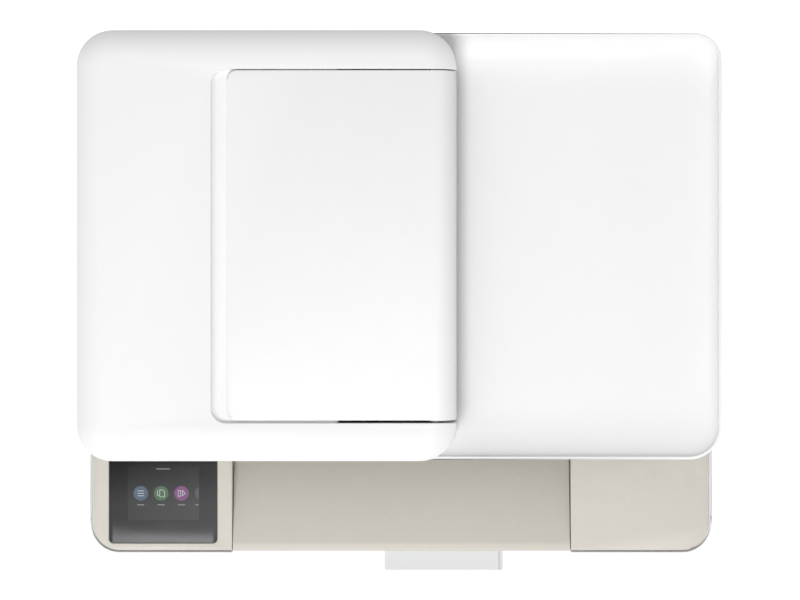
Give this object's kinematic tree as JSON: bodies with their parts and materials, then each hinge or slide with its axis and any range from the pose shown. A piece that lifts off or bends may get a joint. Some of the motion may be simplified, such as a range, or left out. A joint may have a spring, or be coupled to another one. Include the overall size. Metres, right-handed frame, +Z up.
{
  "type": "inkjet printer",
  "caption": "All-in-one inkjet printer with a lidded flatbed scanner, a folding document feeder, a touch display, a hinged front cover and a paper tray.",
  "frame": {"origin": "centre of the bounding box on the supporting surface", "axes": "+X to the right seen from the front, -Y out of the front, +Z up"},
  "size_m": [0.434, 0.373, 0.2],
  "materials": {
    "white_shell": "fine-textured white moulding",
    "sand_shell": "fine-textured warm sand moulding",
    "deck_plastic": "fine-textured sand moulding, a little darker",
    "dark_plastic": "dark grey inner moulding",
    "grey_plastic": "mid grey inner moulding",
    "tab_plastic": "pale grey-white moulding",
    "display_glass": "glossy near-black cover with a dim lit screen",
    "clear_glass": "clear float glass",
    "mat_sheet": "soft white foam sheet",
    "rubber": "matt black rubber",
    "grey_rubber": "matt dark grey rubber",
    "steel": "plain rolled steel",
    "brass": "machined brass",
    "board": "green printed board"
  },
  "bodies": {
    "base": {"chassis_base": "dark_plastic", "side_cover_left": "white_shell", "side_cover_right": "white_shell", "rear_panel": "white_shell", "foot_strip_front": "rubber", "foot_strip_rear": "rubber", "shoulder_left": "sand_shell", "shoulder_right": "sand_shell", "touch_display": "display_glass", "platen": "dark_plastic", "feed_motor": "steel", "carriage_rail": "steel", "carriage_rod": "steel", "timing_belt": "rubber", "carriage_motor": "steel", "service_station": "grey_plastic", "main_board": "board", "power_supply": "dark_plastic", "power_inlet": "dark_plastic"},
    "tray": {"paper_tray": "dark_plastic", "tray_front": "white_shell"},
    "deck": {"output_deck": "deck_plastic"},
    "extender": {"tray_extender": "tab_plastic"},
    "paper_fence_left": {"paper_guide_left": "grey_plastic"},
    "paper_fence_right": {"paper_guide_right": "grey_plastic"},
    "feed": {"feed_roller": "grey_rubber"},
    "output": {"output_roller": "grey_rubber"},
    "idler": {"idler_gear": "grey_plastic"},
    "pinion": {"motor_pinion": "brass"},
    "pinch": {"pinch_roller": "grey_plastic"},
    "star_wheels": {"star_wheel_shaft": "steel"},
    "pick_lever": {"pick_arm": "dark_plastic"},
    "pick_wheel": {"pick_roller": "grey_rubber"},
    "print_head": {"carriage": "dark_plastic", "black_cartridge": "dark_plastic", "colour_cartridge": "dark_plastic"},
    "latch_black": {"cartridge_latch_black": "grey_plastic"},
    "latch_colour": {"cartridge_latch_colour": "grey_plastic"},
    "drive_pulley": {"motor_pulley": "brass"},
    "return_pulley": {"idler_pulley": "grey_plastic"},
    "scanner": {"scanner_bed": "white_shell", "scanner_frame": "white_shell", "flatbed_glass": "clear_glass", "feeder_glass": "clear_glass", "scan_rail": "steel", "lid_hinge_left": "dark_plastic", "lid_hinge_right": "dark_plastic"},
    "scan_head": {"scan_bar": "dark_plastic"},
    "lid": {"lid_shell": "white_shell", "document_mat": "mat_sheet", "feeder_guide": "dark_plastic"},
    "feeder_drum": {"feeder_roller": "grey_rubber"},
    "feeder_exit": {"feeder_exit_roller": "grey_rubber"},
    "feeder_cover": {"feeder_housing": "white_shell"},
    "feeder_pick": {"feeder_pick_roller": "grey_rubber"},
    "feeder_tray": {"input_tray": "white_shell"},
    "document_fence_front": {"document_guide_front": "dark_plastic"},
    "document_fence_rear": {"document_guide_rear": "dark_plastic"},
    "power_key": {"power_button": "grey_plastic"},
    "front_flap": {"front_cover": "sand_shell"}
  },
  "joints": [
    {"name": "tray_slide", "type": "slide", "parent": "base", "child": "tray", "axis": [0, -1, 0], "range_m": [0, 0.15]},
    {"name": "deck_tilt", "type": "hinge", "parent": "tray", "child": "deck", "pos_m": [0, -0.036, 0.0552], "axis": [-1, 0, 0], "range_deg": [0, 10]},
    {"name": "front_cover_open", "type": "hinge", "parent": "base", "child": "front_flap", "pos_m": [0, -0.095, 0.078], "axis": [-1, 0, 0], "range_deg": [0, 45]},
    {"name": "extender_slide", "type": "slide", "parent": "tray", "child": "extender", "axis": [0, -1, 0], "range_m": [0, 0.09]},
    {"name": "paper_guide_left_slide", "type": "slide", "parent": "tray", "child": "paper_fence_left", "axis": [1, 0, 0], "range_m": [0, 0.05]},
    {"name": "paper_guide_right_slide", "type": "slide", "parent": "tray", "child": "paper_fence_right", "axis": [1, 0, 0], "range_m": [-0.05, 0]},
    {"name": "feed_spin", "type": "hinge", "parent": "base", "child": "feed", "pos_m": [0, 0.046, 0.052], "axis": [1, 0, 0], "continuous": true},
    {"name": "output_spin", "type": "hinge", "parent": "base", "child": "output", "pos_m": [0, -0.018, 0.052], "axis": [1, 0, 0], "continuous": true},
    {"name": "idler_spin", "type": "hinge", "parent": "base", "child": "idler", "pos_m": [-0.2005, 0.011, 0.052], "axis": [1, 0, 0], "continuous": true},
    {"name": "pinion_spin", "type": "hinge", "parent": "base", "child": "pinion", "pos_m": [-0.2005, 0.046, 0.026], "axis": [1, 0, 0], "continuous": true},
    {"name": "pinch_spin", "type": "hinge", "parent": "base", "child": "pinch", "pos_m": [0, 0.048, 0.063], "axis": [1, 0, 0], "continuous": true},
    {"name": "star_wheel_spin", "type": "hinge", "parent": "base", "child": "star_wheels", "pos_m": [0, -0.018, 0.061], "axis": [1, 0, 0], "continuous": true},
    {"name": "pick_arm_lift", "type": "hinge", "parent": "base", "child": "pick_lever", "pos_m": [0, 0.072, 0.05], "axis": [1, 0, 0], "range_deg": [0, 12]},
    {"name": "pick_spin", "type": "hinge", "parent": "pick_lever", "child": "pick_wheel", "pos_m": [0, 0.105, 0.033], "axis": [1, 0, 0], "continuous": true},
    {"name": "carriage_slide", "type": "slide", "parent": "base", "child": "print_head", "axis": [-1, 0, 0], "range_m": [0, 0.3]},
    {"name": "latch_black_tilt", "type": "hinge", "parent": "print_head", "child": "latch_black", "pos_m": [0.1375, 0.056, 0.111], "axis": [-1, 0, 0], "range_deg": [0, 20]},
    {"name": "latch_colour_tilt", "type": "hinge", "parent": "print_head", "child": "latch_colour", "pos_m": [0.1785, 0.056, 0.111], "axis": [-1, 0, 0], "range_deg": [0, 20]},
    {"name": "motor_pulley_spin", "type": "hinge", "parent": "base", "child": "drive_pulley", "pos_m": [-0.19, 0.078, 0.097], "axis": [0, 0, -1], "continuous": true},
    {"name": "idler_pulley_spin", "type": "hinge", "parent": "base", "child": "return_pulley", "pos_m": [0.19, 0.078, 0.097], "axis": [0, 0, -1], "continuous": true},
    {"name": "scanner_lift", "type": "hinge", "parent": "base", "child": "scanner", "pos_m": [0, 0.1745, 0.1266], "axis": [-1, 0, 0], "range_deg": [0, 35]},
    {"name": "scan_slide", "type": "slide", "parent": "scanner", "child": "scan_head", "axis": [1, 0, 0], "range_m": [0, 0.33]},
    {"name": "lid_open", "type": "hinge", "parent": "scanner", "child": "lid", "pos_m": [0, 0.1775, 0.152], "axis": [-1, 0, 0], "range_deg": [0, 80]},
    {"name": "feeder_cover_open", "type": "hinge", "parent": "lid", "child": "feeder_cover", "pos_m": [-0.2154, 0.04275, 0.1642], "axis": [0, -1, 0], "range_deg": [0, 50]},
    {"name": "input_tray_fold", "type": "hinge", "parent": "feeder_cover", "child": "feeder_tray", "pos_m": [0.024, 0.0425, 0.186], "axis": [0, 1, 0], "range_deg": [0, 160]},
    {"name": "document_guide_front_slide", "type": "slide", "parent": "feeder_tray", "child": "document_fence_front", "axis": [0, 1, 0], "range_m": [0, 0.034]},
    {"name": "document_guide_rear_slide", "type": "slide", "parent": "feeder_tray", "child": "document_fence_rear", "axis": [0, 1, 0], "range_m": [-0.034, 0]},
    {"name": "feeder_spin", "type": "hinge", "parent": "lid", "child": "feeder_drum", "pos_m": [-0.15, 0.0425, 0.174], "axis": [0, -1, 0], "continuous": true},
    {"name": "feeder_exit_spin", "type": "hinge", "parent": "lid", "child": "feeder_exit", "pos_m": [-0.02, 0.0425, 0.1631], "axis": [0, -1, 0], "continuous": true},
    {"name": "feeder_pick_spin", "type": "hinge", "parent": "feeder_cover", "child": "feeder_pick", "pos_m": [-0.075, 0.0425, 0.1816], "axis": [0, -1, 0], "continuous": true},
    {"name": "power_press", "type": "slide", "parent": "base", "child": "power_key", "axis": [0, -1, 0], "range_m": [0, 0.001], "stiffness_N_per_m": 400, "springref_m": -0.0005}
  ],
  "couplings": [
    {"joint": "paper_guide_right_slide", "follows": "paper_guide_left_slide", "ratio": -1},
    {"joint": "output_spin", "follows": "feed_spin", "ratio": 1.4286},
    {"joint": "idler_spin", "follows": "feed_spin", "ratio": -1.3333},
    {"joint": "pinion_spin", "follows": "feed_spin", "ratio": -3.3333},
    {"joint": "pinch_spin", "follows": "feed_spin", "ratio": -1.625},
    {"joint": "star_wheel_spin", "follows": "feed_spin", "ratio": -1.6071},
    {"joint": "pick_spin", "follows": "feed_spin", "ratio": 0.72222},
    {"joint": "motor_pulley_spin", "follows": "carriage_slide", "rad_per_m": 153.85},
    {"joint": "idler_pulley_spin", "follows": "carriage_slide", "rad_per_m": 153.85},
    {"joint": "document_guide_rear_slide", "follows": "document_guide_front_slide", "ratio": -1},
    {"joint": "feeder_exit_spin", "follows": "feeder_spin", "ratio": -3.3333},
    {"joint": "feeder_pick_spin", "follows": "feeder_spin", "ratio": -1.2245}
  ]
}
